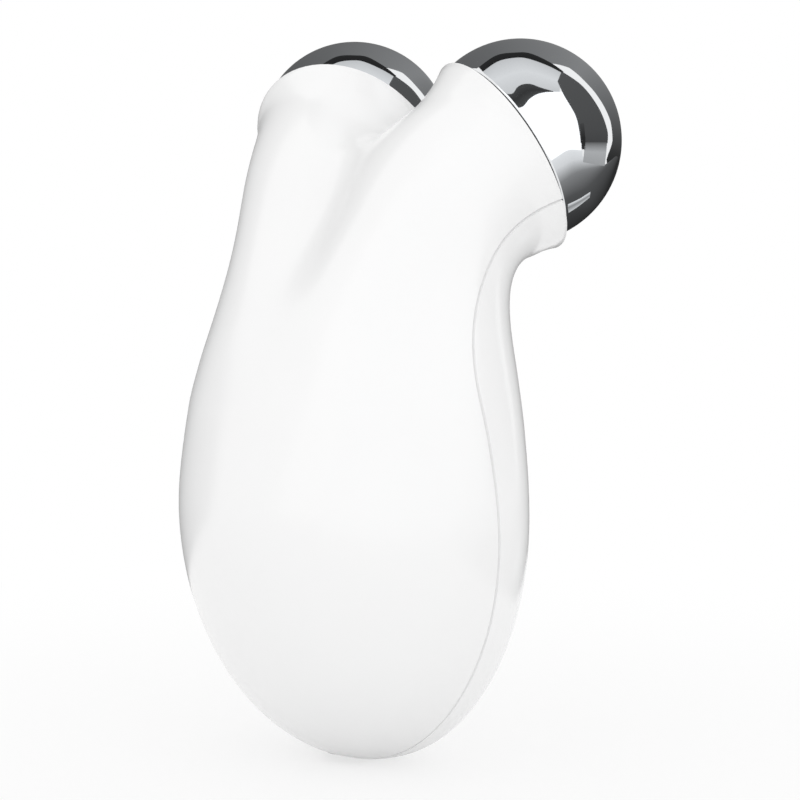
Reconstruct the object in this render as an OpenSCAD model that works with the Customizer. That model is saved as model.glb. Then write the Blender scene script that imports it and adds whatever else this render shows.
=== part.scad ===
// Handheld facial toning device: two chromed ball electrodes in the splayed necks of a moulded
// two-part body, with one push button and three lamps in front and a charging socket in the base.
// +Z is up the body, -Y is the front, +Y the rear; the origin is the centre of the socket's mouth.
//
// The body is an egg that blends into two flared necks. Places in it are given along a straight
// spine, which is then bent forward. A field that is negative inside gives the distance to the
// skin, so the outer skin, the inner skin and everything seated on them follow the same sizes.

/* [Body] */
// Width of the body where it is widest
body_w = 62.4; // [61:0.2:66]
// Height of the widest section
widest_z = 38.6; // [37:0.2:40]
// Height of the tip of the egg, which the charging socket cuts away
base_z = -1.64; // [-2:0.02:-1.4]
// How far the egg's middle lies in front of the charging socket
body_forward = 3.8; // [3.4:0.1:4.2]
// Depth of the egg behind its middle, at the widest section
rear_d = 28; // [27:0.2:30]
// Depth of the egg in front of its middle, at the widest section
front_d = 17; // [16:0.2:19]
// Width that the egg tends to at its crown
crown_w = 62; // [60:0.2:66]
// Depth behind its middle that the egg tends to at its crown
crown_rear_d = 10; // [9:0.2:12]
// Depth in front of its middle that the egg tends to at its crown
crown_front_d = 20; // [18:0.2:22]
// Rise of the egg's crown above its widest section
crown_rise = 48.6; // [47:0.2:50]
// Thickness of the casing walls
wall = 2; // [1.6:0.1:2.4]
// Radius of the blend from the body into the necks
neck_blend = 25; // [22:0.5:27]

/* [Necks and electrodes] */
// Diameter of each ball electrode
ball_d = 31; // [30.4:0.1:31.4]
// Distance between the centres of the balls
ball_pitch = 37.3; // [36.6:0.1:39]
// Height of the balls' centres along the spine
ball_z = 101.4; // [100.6:0.2:103]
// How far the balls' centres lie behind the parting line
ball_back = 4.8; // [4:0.2:5.4]
// Outward splay of each neck
splay = 18.2; // [17:0.2:20]
// How far the rim lies behind the ball's centre, along the neck
rim_setback = 3.7; // [3.2:0.1:4.4]
// Outer diameter of the rim round each ball
rim_d = 31.4; // [31.1:0.1:32.2]
// Diameter of the neck at its root
neck_root_d = 14.8; // [13:0.2:16]
// Length of the neck
neck_len = 31.6; // [30:0.2:34]
// How sharply the neck flares towards its rim
neck_flare = 2.78; // [2.5:0.02:3]
// Radius of the blend between the two necks
crotch_blend = 8.2; // [7:0.2:9]
// Width of the slot between each ball and its rim
slot = 0.42; // [0.36:0.02:0.5]

/* [Spine] */
// Height at which the spine starts to bend forward
bend_start = 58.2; // [56:0.2:60]
// Height at which the bend ends
bend_end = 93; // [92:0.2:93.6]
// Forward lean of the spine at the base, in degrees, which it gives back by the bend
base_lean = 7.6; // [5:0.2:9]
// Forward lean of the head, in degrees
head_lean = 58.8; // [55:0.2:61]

/* [Seam] */
// Width of the groove where the two casings meet
seam_w = 0.5; // [0.3:0.1:0.8]
// Depth of the groove
seam_d = 0.3; // [0.2:0.1:0.5]
// Diameter of the locating pegs inside the seam
peg_d = 2.4; // [2:0.1:2.8]
// Heights of the locating pegs, low pair
peg_low_z = 24; // [20:1:30]
// Heights of the locating pegs, high pair
peg_high_z = 64; // [60:1:68]

/* [Button] */
// Height of the button on the front
panel_z = 50; // [48:0.5:52]
// Backward tilt of the button, in degrees
panel_tilt = 1; // [0:0.5:3]
// Diameter of the push button
button_d = 14.2; // [13:0.1:15]
// Gap between the button and its bezel
button_gap = 0.3; // [0.3:0.05:0.45]
// How far the middle of the button stands proud of the body
button_proud = 1.2; // [0.8:0.1:1.6]
// Travel of the button
button_travel = 0.5; // [0.3:0.05:0.6]
// Width of the bezel's face round the button
bezel_w = 1.6; // [1.4:0.1:2]
// How far the bezel's crown stands proud of the body
bezel_proud = 0.5; // [0.3:0.1:0.8]
// Depth of the pocket that the bezel is glued into
pocket_depth = 1.3; // [1.1:0.05:1.4]
// Depth of the end of the bezel's tube
bezel_len = 3; // [2.8:0.1:3.2]
// Side of the tact switch
switch_w = 6; // [5.6:0.2:6.4]
// Height of the tact switch on the board
switch_h = 3.2; // [3:0.1:3.3]
// Diameter of the switch's plunger
plunger_d = 3.5; // [3:0.1:4]

/* [Lamps] */
// Diameter of each lamp window
lamp_d = 2; // [1.6:0.1:2.4]
// Distance between the lamp windows
lamp_pitch = 5; // [4:0.2:6]
// Height of the lamps above the button's centre
lamp_rise = 13.5; // [13:0.5:14.5]

/* [Board and chassis] */
// Width of the circuit board
board_w = 30; // [28:0.5:31]
// Height of the circuit board above the button's centre
board_top = 20; // [19.5:0.5:20.5]
// Height of the circuit board below the button's centre
board_bottom = 16; // [16:0.5:18]
// Thickness of the circuit board
board_t = 1.6; // [1:0.1:1.8]
// Depth of the board's face behind the front of the body
board_depth = 9; // [9:0.1:9.4]
// Length of the posts between the chassis and the board
post_len = 2; // [1.6:0.1:2.4]
// Width of the chassis plate
chassis_w = 35; // [34:0.5:36]
// Thickness of the chassis plate
chassis_t = 1.5; // [1.3:0.1:1.8]
// Distance of the chassis's ears from the middle
ear_x = 20; // [19.6:0.1:20.4]
// Height of the ears above and below the button's centre
ear_z = 13; // [12:0.5:14]

/* [Battery] */
// Diameter of the battery cell
cell_d = 18.3; // [17:0.1:18.6]
// Length of the battery cell
cell_len = 35; // [33:0.5:36]
// Gap between the charging socket's tags and the foot of the chassis
foot_gap = 3.6; // [3:0.2:5]

/* [Charging socket] */
// Bore of the charging socket, for a 3.5 mm plug
socket_bore = 3.6; // [3.2:0.1:4]
// Depth of the socket's bore
socket_depth = 11; // [10:0.5:12]
// Diameter of the socket's bush in the base
bush_d = 8.4; // [7.8:0.1:8.8]

/* [Hidden] */
$fn = 48;

ball_c = [ball_pitch / 2, ball_back, ball_z];
neck_axis = [sin(splay), 0, cos(splay)];
rim_c = ball_c - rim_setback * neck_axis;
mouth_recess = 1.2;

// --- form of the body: the egg stands still while the straight frame's necks are bent forward ---

function blend_min(a, b, r) = let(h = max(r - abs(a - b), 0) / r) min(a, b) - h * h * r / 4;
function ease(t) = let(u = min(max(t, 0), 1)) u * u * (3 - 2 * u);
function egg(q) =
    let(h = q.z - widest_z, y = q.y + body_forward, g = ease(h / crown_rise))
    let(w = (body_w + (crown_w - body_w) * g) / 2)
    let(d = y < 0 ? front_d + (crown_front_d - front_d) * g : rear_d + (crown_rear_d - rear_d) * g)
    let(f = norm([q.x / w, y / d, h / (h < 0 ? widest_z - base_z : crown_rise)]))
    f < 0.01 ? -d : norm([q.x, y, h]) * (1 - 1 / f);
// Diameter of a neck's flare at a distance behind the ball's centre
function neck_d(back) = let(t = min(max((back - rim_setback) / neck_len, 0), 1))
    neck_root_d + (rim_d - neck_root_d) * pow(1 - t, neck_flare);
function neck(p) =
    let(q = p - ball_c, s = q * neck_axis)
    norm([norm(q - s * neck_axis), min(s + rim_setback + neck_len, 0)]) - neck_d(-s) / 2;
function outer_field(p) =
    blend_min(egg(bend(p)), blend_min(neck(p), neck([-p.x, p.y, p.z]), crotch_blend), neck_blend);
function field(p, skin) = outer_field(p) + (skin == "inner" ? wall : skin == "groove" ? seam_d : 0);

// Root of the field between a (inside) and b (outside), on the line from p along v
function root(p, v, a, b, skin, n = 15) =
    let(m = (a + b) / 2)
    n == 0 ? m : field(p + m * v, skin) < 0 ? root(p, v, m, b, skin, n - 1) : root(p, v, a, m, skin, n - 1);

// --- bending forward along the spine: a slow arc back, a tighter arc forward, a straight head ---

low_r = bend_start / (2 * base_lean) * 180 / PI;
high_r = (bend_end - bend_start) / (base_lean + head_lean) * 180 / PI;
low_c = [0, low_r * cos(base_lean), low_r * sin(base_lean) - mouth_recess];
high_c = low_c - (low_r + high_r) * [0, cos(base_lean), -sin(base_lean)];
head_up = [0, -sin(head_lean), cos(head_lean)];
head_back = [0, cos(head_lean), sin(head_lean)];
head_o = high_c + high_r * head_back;

function lean(z) = z < bend_start
    ? base_lean * (1 - 2 * z / bend_start)
    : min((base_lean + head_lean) * (z - bend_start) / (bend_end - bend_start) - base_lean, head_lean);
function bend(p) = let(back = [0, cos(lean(p.z)), sin(lean(p.z))])
    [p.x, 0, 0] + (p.z < bend_start ? low_c - (low_r - p.y) * back
    : p.z < bend_end ? high_c + (high_r + p.y) * back
    : head_o + (p.z - bend_end) * head_up + p.y * head_back);
function unbend(q) =
    let(rise = (q - head_o) * head_up, a = atan2(low_c.z - q.z, low_c.y - q.y))
    let(b = atan2(q.z - high_c.z, q.y - high_c.y))
    rise > 0 ? [q.x, (q - head_o) * head_back, bend_end + rise]
    : a > -base_lean ? [q.x, low_r - norm([0, q.y, q.z] - low_c), bend_start / 2 * (1 - a / base_lean)]
    : [q.x, norm([0, q.y, q.z] - high_c) - high_r,
        bend_start + (b + base_lean) / (base_lean + head_lean) * (bend_end - bend_start)];

// Distance from q along v at which the bent body's skin is crossed, between a and b
function cross_skin(q, v, a, b, skin, n = 15) =
    let(m = (a + b) / 2)
    n == 0 ? m
    : field(unbend(q + m * v), skin) < 0 ? cross_skin(q, v, m, b, skin, n - 1)
    : cross_skin(q, v, a, m, skin, n - 1);

// --- skins, as rings of points that fan out from the spine and then from the neck's axis ---

rings = 33;
split_ring = 25;
steps = 16;
reach = 45;
split_step = 0.6;
rim_top = rim_c.z + rim_c.x * tan(splay);
waist_z = 75;

function ring_heights(skin) =
    let(base = widest_z - root([0, 0, widest_z], [0, 0, -1], 0, reach, skin))
    let(crotch = root([0, 0, waist_z], [0, 0, 1], 0, reach / 2, skin) + waist_z)
    [for (i = [0:rings])
        i < split_ring
            ? base + (crotch - split_step - base) * (1 - cos(180 * pow(i / (split_ring - 1), 0.92))) / 2
            : crotch + split_step
                + (rim_top - crotch - split_step) * (i - split_ring) / (rings - split_ring)];

// Tilt of the ring that crosses the spine at height z, and how far out its centre lies
function ring_tilt(z) = splay * ease((z / rim_top - 0.35) / 0.55);
function ring_shift(z) = let(g = ring_tilt(z))
    max((rim_c.x * cos(splay) + (z - rim_c.z) * sin(splay)) / cos(splay - g), 0)
        * ease((z / rim_top - 0.45) / 0.4);

function fan(side, skin) = [for (i = [0:rings], z = [ring_heights(skin)[i]])
    let(g = ring_tilt(z), s = ring_shift(z), along = [cos(g), 0, -sin(g)], c = [0, 0, z] + s * along)
    let(split = i < split_ring, mid_y = split ? root([0, 0, z], [0, side, 0], 0, reach, skin) : 0)
    let(last = split ? atan2(mid_y, -s) : 180)
    let(lip = atan(seam_w / 2 / root(c, along, 0, reach, "outer")))
    [for (j = [0:steps])
        let(turn = j == 0 ? 0 : split ? lip + (last - lip) * (j - 1) / (steps - 1)
            : j == steps ? 180 : lip + (180 - 2 * lip) * (j - 1) / (steps - 2))
        let(dir = cos(turn) * along + [0, side * sin(turn), 0])
        let(far = cos(turn) < -0.001 ? min(reach, (s + 0.001) / -cos(turn)) : reach)
        let(edge = skin == "outer" && (j == 0 || (j == steps && !split)) ? "groove" : skin)
        i == 0 ? [0, 0, z]
        : j == steps && split ? [0, side * mid_y, z]
        : c + root(c, dir, 0, far, edge) * dir]];

module shell(side) {
    row = steps + 1;
    sheet = (rings + 1) * row;
    points = [for (half = [1, -1], skin = ["outer", "inner"], r = fan(side, skin), p = r)
        bend([half * p.x, p.y, p.z])];
    // Number of a point: half 0 or 1, skin 0 (outer) or 1 (inner), ring and step; the base and the
    // mid-line below the crotch are shared by both halves
    function at(half, skin, i, j) =
        (half * 2 * (i == 0 || (j == steps && i < split_ring) ? 0 : 1) + skin) * sheet + i * row + j;
    function quad(a, b, c, d, flip) = flip ? [[c, b, a], [d, c, a]] : [[a, b, c], [a, c, d]];
    turned = side > 0 ? 0 : 1;
    function back_to_front(n) = (n + turned) % 2 == 0;
    skins = [for (half = [0, 1], skin = [0, 1], i = [0:rings - 1], j = [0:steps - 1],
        f = quad(at(half, skin, i, j), at(half, skin, i, j + 1), at(half, skin, i + 1, j + 1),
            at(half, skin, i + 1, j), back_to_front(half + skin))) f];
    flanks = [for (half = [0, 1], i = [0:rings - 1],
        f = quad(at(half, 0, i, 0), at(half, 0, i + 1, 0), at(half, 1, i + 1, 0),
            at(half, 1, i, 0), back_to_front(half))) f];
    inner_flanks = [for (half = [0, 1], i = [split_ring:rings - 1],
        f = quad(at(half, 0, i + 1, steps), at(half, 0, i, steps), at(half, 1, i, steps),
            at(half, 1, i + 1, steps), back_to_front(half))) f];
    rims = [for (half = [0, 1], j = [0:steps - 1],
        f = quad(at(half, 0, rings, j), at(half, 0, rings, j + 1), at(half, 1, rings, j + 1),
            at(half, 1, rings, j), back_to_front(half))) f];
    crotch = [for (skin = [0, 1])
        let(t = [at(0, skin, split_ring - 1, steps), at(0, skin, split_ring, steps),
            at(1, skin, split_ring, steps)])
        back_to_front(skin) ? t : [t[2], t[1], t[0]]];
    crotch_edge = quad(at(0, 0, split_ring, steps), at(1, 0, split_ring, steps),
        at(1, 1, split_ring, steps), at(0, 1, split_ring, steps), side > 0);
    polyhedron(points, concat(skins, flanks, inner_flanks, rims, crotch, crotch_edge), convexity = 6);
}

// --- places: the panel's frame (x, depth, up), the balls' frames and the seam's frames ---

panel_o = bend([0, -root([0, 0, panel_z], [0, -1, 0], 0, reach, "outer"), panel_z]);
panel_in = [0, cos(panel_tilt), -sin(panel_tilt)];
panel_up = [0, sin(panel_tilt), cos(panel_tilt)];
function on_panel(x, depth, up) = panel_o + [x, 0, 0] + depth * panel_in + up * panel_up;
function front_skin(x, up, skin) = -cross_skin(on_panel(x, 0, up), -panel_in, -board_depth, 4, skin);
function rear_skin(x, up, skin) = cross_skin(on_panel(x, 0, up), panel_in, 20, 50, skin);

module panel() {
    translate(panel_o) rotate([-panel_tilt, 0, 0]) children();
}
// A piece turned so that its own +Z points into the body
module inward(x, up, depth) {
    panel() translate([x, depth, up]) rotate([-90, 0, 0]) children();
}
// A flat piece, drawn as seen from the front
module flat(depth, thick) {
    panel() translate([0, depth + thick, 0]) rotate([90, 0, 0]) linear_extrude(thick) children();
}
module rounded(w, low, high, r) {
    translate([0, (low + high) / 2]) {
        square([w - 2 * r, high - low], center = true);
        square([w, high - low - 2 * r], center = true);
        for (x = [-1, 1], y = [-1, 1]) translate([x * (w / 2 - r), y * ((high - low) / 2 - r)]) circle(r);
    }
}

// A ball's frame has its origin at the ball's centre and +Z out along the neck
module at_ball(side) {
    translate(bend([side * ball_c.x, ball_c.y, ball_c.z])) rotate([head_lean, 0, 0])
        rotate([0, side * splay, 0]) children();
}
function from_ball(side, p) =
    let(x = p.x * cos(splay) + side * p.z * sin(splay), z = p.z * cos(splay) - side * p.x * sin(splay))
    bend(ball_c) - [bend(ball_c).x * (1 - side), 0, 0] + [x, 0, 0] + p.y * head_back + z * head_up;

boss_r = 2.2;
boss_len = 4;
peg_clear = 0.05;
peg_len = 3;
module at_pegs() {
    for (side = [-1, 1], z = [peg_low_z, peg_high_z]) {
        x = root([0, 0.001, z], [1, 0, 0], 0, reach, "inner") - boss_r + 0.2;
        translate(bend([side * x, 0, z])) rotate([lean(z) - 90, 0, 0]) children();
    }
}

// --- casings ---

fit_gap = 0.1;
lamp_xs = [-lamp_pitch, 0, lamp_pitch];
button_r = button_d / 2;
bezel_inner_r = button_r + button_gap;
bezel_tube_r = bezel_inner_r + 0.6;
bezel_r = bezel_inner_r + bezel_w;
clear_cut = 6;
bush_clear = 0.05;
lamp_clear = 0.05;
chassis_depth = board_depth + board_t + post_len;
block_top = socket_depth + 3;
tag_top = block_top + 3;
ear_boss_r = 2.4;
screw_r = 1;
thread_clear = 0.05;

module rear_casing() {
    color("white") difference() {
        union() {
            shell(1);
            at_pegs() cylinder(h = boss_len, r = boss_r);
            battery_ribs();
        }
        at_pegs() translate([0, 0, -1]) cylinder(h = peg_len + 1.3, r = peg_d / 2 + peg_clear);
        socket_cut();
    }
}

// Two ribs that press the foam pad against the battery
rib_t = 1.5;
rib_len = 18;
module battery_ribs() {
    low = cell_mid - rib_len / 2;
    for (x = [-1, 1] * pad_w / 3)
        let(wall_at = min(rear_skin(x, low, "inner"), rear_skin(x, low + rib_len, "inner")))
        panel() translate([x - rib_t / 2, pad_back, low])
            cube([rib_t, wall_at + wall / 2 - pad_back, rib_len]);
}

// Depth at which a boss is buried in the front wall without reaching its outer skin
function boss_start(x, up) = 0.4 + max([for (dx = [-1, 1], dy = [-1, 1])
    front_skin(x + dx * ear_boss_r, up + dy * ear_boss_r, "outer")]);

module front_casing() {
    color("gainsboro") difference() {
        union() {
            shell(-1);
            at_pegs() translate([0, 0, -boss_len]) cylinder(h = boss_len, r = boss_r);
            at_pegs() translate([0, 0, -1]) cylinder(h = peg_len + 1, r = peg_d / 2);
            for (x = [-ear_x, ear_x], up = [-ear_z, ear_z]) let(start = boss_start(x, up))
                inward(x, up, start) cylinder(h = chassis_depth - start, r = ear_boss_r);
        }
        inward(0, 0, -clear_cut) cylinder(h = clear_cut + pocket_depth, r = bezel_r + fit_gap);
        inward(0, 0, -clear_cut) cylinder(h = clear_cut + bezel_len + 2, r = bezel_tube_r + fit_gap);
        for (x = lamp_xs)
            inward(x, lamp_rise, -clear_cut) cylinder(h = 2 * clear_cut, r = lamp_d / 2 + lamp_clear);
        for (x = [-ear_x, ear_x], up = [-ear_z, ear_z])
            inward(x, up, chassis_depth - 4) cylinder(h = 5, r = screw_r + thread_clear);
        socket_cut();
    }
}

module socket_cut() {
    translate([0, 0, -4]) cylinder(h = 4 + flange_z, r = bush_d / 2 + bush_clear);
}

// --- electrodes: chromed balls, seated on the rims and screwed to carriers in the necks ---

ball_wall = 2;
spigot_end = 10.5;
spigot_r = neck_d(spigot_end) / 2 - wall - 0.6;
screw_thread_r = 2;
screw_hole_end = 4;
seal_r = ball_d / 2 - 0.6;
seal_gap = 0.02;
carrier_t = 2.5;
carrier_back = spigot_end + carrier_t;
carrier_limit = 11;
terminal_t = 0.6;
head_r = 3.4;
head_h = 2.4;
tab_end = 7;

// A hollow ball with a flat above the rim, and a solid spigot that is tapped for the screw
module electrode(side) {
    flat_at = rim_setback - slot;
    at_ball(side) difference() {
        union() {
            intersection() {
                sphere(d = ball_d, $fn = 96);
                translate([0, 0, -flat_at]) cylinder(h = 2 * ball_d, r = ball_d);
            }
            translate([0, 0, -spigot_end]) cylinder(h = spigot_end, r = spigot_r);
        }
        intersection() {
            sphere(r = ball_d / 2 - ball_wall, $fn = 96);
            translate([0, 0, ball_wall - flat_at]) cylinder(h = 2 * ball_d, r = ball_d);
        }
        translate([0, 0, -spigot_end - 1])
            cylinder(h = spigot_end + 1 - screw_hole_end, r = screw_thread_r + thread_clear);
    }
}
module left_electrode() {
    color("lightsteelblue") electrode(-1);
}
module right_electrode() {
    color("lightsteelblue") electrode(1);
}
// Flat gaskets between the balls and the rims
module electrode_seals() {
    color("dimgray") for (side = [-1, 1]) at_ball(side)
        translate([0, 0, seal_gap - rim_setback]) linear_extrude(slot - 2 * seal_gap) difference() {
            circle(seal_r, $fn = 96);
            circle(rim_d / 2 - wall + 0.2, $fn = 96);
        }
}
// Room that the neck leaves for a carrier, in a direction round the neck's axis
function carrier_r(turn) = min(concat(carrier_limit, [for (a = [spigot_end, carrier_back])
    let(c = from_ball(1, [0, 0, -a]), v = from_ball(1, [cos(turn), sin(turn), -a]) - c)
    cross_skin(c, v, 0, reach, "inner") - fit_gap]));

// Discs that fill the necks behind the balls, with feet for the terminals' screws
module electrode_carriers() {
    edge = [for (turn = [0:15:345]) carrier_r(turn) * [cos(turn), sin(turn)]];
    color("whitesmoke") for (side = [-1, 1]) at_ball(side) difference() {
        union() {
            translate([0, 0, -carrier_back]) linear_extrude(carrier_t)
                polygon([for (p = edge) [side * p.x, p.y]]);
            for (a = [0:120:240]) rotate([0, 0, a + 90 - 90 * side])
                translate([head_r + 1.6, -0.6, -carrier_back - 1.5]) cube([1.6, 1.2, 1.6]);
        }
        translate([0, 0, -carrier_back - 1])
            cylinder(h = carrier_t + 2, r = screw_thread_r + thread_clear);
    }
}
// Ring terminals, each with a tab towards the middle of the body
module electrode_terminals() {
    color("gold") for (side = [-1, 1]) at_ball(side)
        translate([0, 0, -carrier_back - terminal_t]) linear_extrude(terminal_t) difference() {
            union() {
                circle(head_r + 0.4);
                translate([side > 0 ? -tab_end : 0, -1]) square([tab_end, 2]);
            }
            circle(screw_thread_r + thread_clear);
        }
}
module electrode_screws() {
    back = carrier_back + terminal_t;
    color("darkgray") for (side = [-1, 1]) at_ball(side) difference() {
        union() {
            translate([0, 0, -back]) cylinder(h = back - screw_hole_end - 0.5, r = screw_thread_r);
            translate([0, 0, -back - head_h]) cylinder(h = head_h, r = head_r);
        }
        translate([0, 0, -back - head_h - 1]) cross_recess(head_r, 2.2);
    }
}
module cross_recess(r, deep) {
    for (a = [0, 90]) rotate([0, 0, a])
        translate([-r * 0.6, -r * 0.12, 0]) cube([r * 1.2, r * 0.24, deep]);
}

// --- push button, its bezel and the switch behind it ---

flange_depth = bezel_len + 0.4;
flange_t = 1;
button_flange_r = bezel_inner_r + 1;
button_skirt = 1.2;
stem_r = 2;
plunger_out = 1;
plunger_fit = 0.05;
plunger_front = board_depth - switch_h - plunger_out;
plunger_len = 2.2;
dome_depth = plunger_front + plunger_len + button_travel + 0.3;

module button_bezel() {
    color("silver") inward(0, 0, 0) rotate_extrude() polygon([
        [bezel_inner_r, bezel_len], [bezel_inner_r, 0.1 - bezel_proud], [bezel_inner_r + 0.4, -bezel_proud],
        [bezel_r - 0.5, 0.15 - bezel_proud], [bezel_r, 0.6 - bezel_proud], [bezel_r, pocket_depth],
        [bezel_tube_r, pocket_depth], [bezel_tube_r, bezel_len]
    ]);
}
module power_button() {
    crown = [for (i = [0:8], r = [(button_r - 0.5) * i / 8])
        [r, 0.7 * pow(r / button_r, 2) - button_proud]];
    edge = crown[8].y;
    color("white") inward(0, 0, 0) rotate_extrude() polygon(concat(crown, [
        [button_r - 0.15, edge + 0.15], [button_r, edge + 0.5], [button_r, flange_depth],
        [button_flange_r, flange_depth], [button_flange_r, flange_depth + flange_t],
        [button_r - button_skirt, flange_depth + flange_t], [button_r - button_skirt, button_skirt],
        [stem_r, button_skirt], [stem_r, plunger_front], [0, plunger_front]
    ]));
}
module switch_plunger() {
    color("dimgray") inward(0, 0, plunger_front) cylinder(h = plunger_len, r = plunger_d / 2);
}
// Snap dome at the foot of the switch's bore
module switch_dome() {
    r = plunger_d / 2 - 0.05;
    color("khaki") inward(0, 0, dome_depth)
        rotate_extrude() polygon([[0, 0], [r * 0.6, 0.08], [r, 0.3], [r, 0.4], [r * 0.6, 0.18], [0, 0.1]]);
}
module tact_switch() {
    color("darkslategray") difference() {
        union() {
            inward(0, 0, board_depth - switch_h)
                linear_extrude(switch_h) square(switch_w, center = true);
            for (x = [-1, 1], up = [-1, 1] * switch_w * 0.36) panel()
                translate([x * (switch_w / 2 + 0.35) - 0.4, board_depth - 0.8, up - 0.35])
                    cube([0.8, 0.8, 0.7]);
        }
        inward(0, 0, plunger_front)
            cylinder(h = dome_depth + 0.4 - plunger_front, r = plunger_d / 2 + plunger_fit);
    }
}

// --- lamps ---

led_h = 0.8;
led_gap = 0.2;
bar_half = lamp_d / 2 + 0.4;
bar_depth = max([for (x = [-1, 1], up = [-1, 1])
    front_skin(x * (lamp_pitch + bar_half), lamp_rise + up * bar_half, "inner")]) + fit_gap;

// Three clear light guides on one bar behind the front wall
module light_guide() {
    color("lightcyan") {
        for (x = lamp_xs) let(tip = front_skin(x, lamp_rise, "outer"))
            inward(x, lamp_rise, tip - 0.1)
                cylinder(h = board_depth - led_h - led_gap - tip + 0.1, r = lamp_d / 2);
        panel() translate([-lamp_pitch - bar_half, bar_depth, lamp_rise - bar_half])
            cube([2 * (lamp_pitch + bar_half), 1.2, 2 * bar_half]);
    }
}
module indicator_leds() {
    color("lemonchiffon") for (x = lamp_xs) panel()
        translate([x - 0.8, board_depth - led_h, lamp_rise - 0.4]) cube([1.6, led_h, 0.8]);
}

// --- circuit board and what is on it ---

board_inset = 2.8;
board_screw_head_r = 1.9;
board_screw_head_h = 1.3;
board_holes = [for (x = [-1, 1], up = [board_inset - board_bottom, board_top - board_inset])
    [x * (board_w / 2 - board_inset), up]];

module circuit_board() {
    color("seagreen") flat(board_depth, board_t) difference() {
        rounded(board_w, -board_bottom, board_top, 2);
        for (p = board_holes) translate(p) circle(screw_r + fit_gap);
    }
}
chip_w = 5;
chip_h = 4;
chip_t = 1.2;
pin_len = 0.9;
part_x = board_w / 2 - 6.7;
part_up = -9;
module controller_chip() {
    color("black") panel() translate([part_x, board_depth, part_up]) {
        translate([-chip_w / 2, -chip_t - 0.1, -chip_h / 2]) cube([chip_w, chip_t, chip_h]);
        for (up = [-1.5:0.75:1.5], side = [-1, 1])
            translate([side * (chip_w + pin_len) / 2 - 0.5, -0.35, up - 0.15]) cube([1, 0.35, 0.3]);
    }
}
coil_r = 3;
coil_h = 3;
module boost_inductor() {
    color("dimgray") inward(-part_x, part_up, board_depth - coil_h) rotate_extrude() polygon([
        [0, 0], [coil_r, 0], [coil_r, 0.7], [coil_r - 0.6, 0.9], [coil_r - 0.6, coil_h - 0.9],
        [coil_r, coil_h - 0.7], [coil_r, coil_h], [0, coil_h]
    ]);
}
can_r = 2;
can_h = 4.2;
can_up = 3;
module capacitors() {
    for (side = [-1, 1])
        color("gray") inward(side * (board_w / 2 - can_r - 1.8), can_up, board_depth - can_h)
            rotate_extrude() polygon([
                [0, 0], [can_r - 0.3, 0], [can_r, 0.3], [can_r, can_h - 1.3], [can_r - 0.15, can_h - 1.1],
                [can_r, can_h - 0.9], [can_r, can_h], [0, can_h]
            ]);
}
buzzer_r = 4.2;
buzzer_h = 3;
buzzer_hole_r = 0.7;
module buzzer() {
    color("black") inward(0, buzzer_r + 0.7 - board_bottom, board_depth - buzzer_h) difference() {
        cylinder(h = buzzer_h, r = buzzer_r);
        translate([0, 0, -1]) cylinder(h = 1.8, r = buzzer_hole_r);
    }
}
module board_screws() {
    color("silver") for (p = board_holes) inward(p.x, p.y, board_depth) difference() {
        union() {
            translate([0, 0, -board_screw_head_h]) cylinder(h = board_screw_head_h, r = board_screw_head_r);
            translate([0, 0, -0.1]) cylinder(h = board_t + post_len + 1, r = screw_r);
        }
        translate([0, 0, -board_screw_head_h - 1]) cross_recess(board_screw_head_r, 1.7);
    }
}

// --- chassis, which carries the board in front and the battery behind ---

foot_lip = 2;
chassis_top = board_top + 2;
cell_drop = (panel_o.z - tag_top - foot_gap) / cos(panel_tilt) - foot_lip;
chassis_bottom = cell_drop + foot_lip;
chassis_back = chassis_depth + chassis_t;
cell_r = cell_d / 2;
cell_y = chassis_back + 0.5 + cell_r;
cell_mid = cell_len / 2 - cell_drop;
saddle_x = cell_r + 1.5;
pad_w = 12;
pad_len = 22;
pad_back = cell_y + cell_r + 1.5;

module chassis() {
    color("lightgray") difference() {
        union() {
            flat(chassis_depth, chassis_t) {
                rounded(chassis_w, -chassis_bottom, chassis_top, 5);
                for (up = [-ear_z, ear_z]) {
                    ear_strip(up);
                    for (x = [-ear_x, ear_x]) translate([x, up]) circle(ear_boss_r + 0.4);
                }
            }
            for (p = board_holes)
                inward(p.x, p.y, board_depth + board_t) cylinder(h = post_len, r = boss_r);
            // Saddles under the cell, and walls past its ends
            for (up = [cell_mid - cell_len * 0.3, cell_mid + cell_len * 0.3]) panel()
                translate([-saddle_x, chassis_back, up - 1]) cube([2 * saddle_x, cell_y - chassis_back, 2]);
            for (up = [-cell_drop - 1.8, cell_len - cell_drop + 2.3]) panel()
                translate([-4, chassis_back, up]) cube([8, cell_y - chassis_back - 3, 1.5]);
        }
        panel() translate([0, cell_y, -cell_drop - 0.3]) cylinder(h = cell_len + 2.6, r = cell_r + fit_gap);
        for (p = board_holes)
            inward(p.x, p.y, board_depth) cylinder(h = board_t + post_len + 4, r = screw_r + thread_clear);
        for (x = [-ear_x, ear_x], up = [-ear_z, ear_z])
            inward(x, up, chassis_depth - 1) cylinder(h = chassis_t + 2, r = screw_r + fit_gap);
    }
}
module ear_strip(up) {
    translate([0, up]) square([2 * ear_x, 2 * ear_boss_r + 0.8], center = true);
}
module chassis_screws() {
    color("silver") for (x = [-ear_x, ear_x], up = [-ear_z, ear_z])
        inward(x, up, chassis_back) difference() {
            union() {
                cylinder(h = board_screw_head_h, r = board_screw_head_r);
                translate([0, 0, -chassis_t - 3.5]) cylinder(h = chassis_t + 3.6, r = screw_r);
            }
            translate([0, 0, board_screw_head_h - 0.7]) cross_recess(board_screw_head_r, 1.7);
        }
}

// --- battery ---

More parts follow.
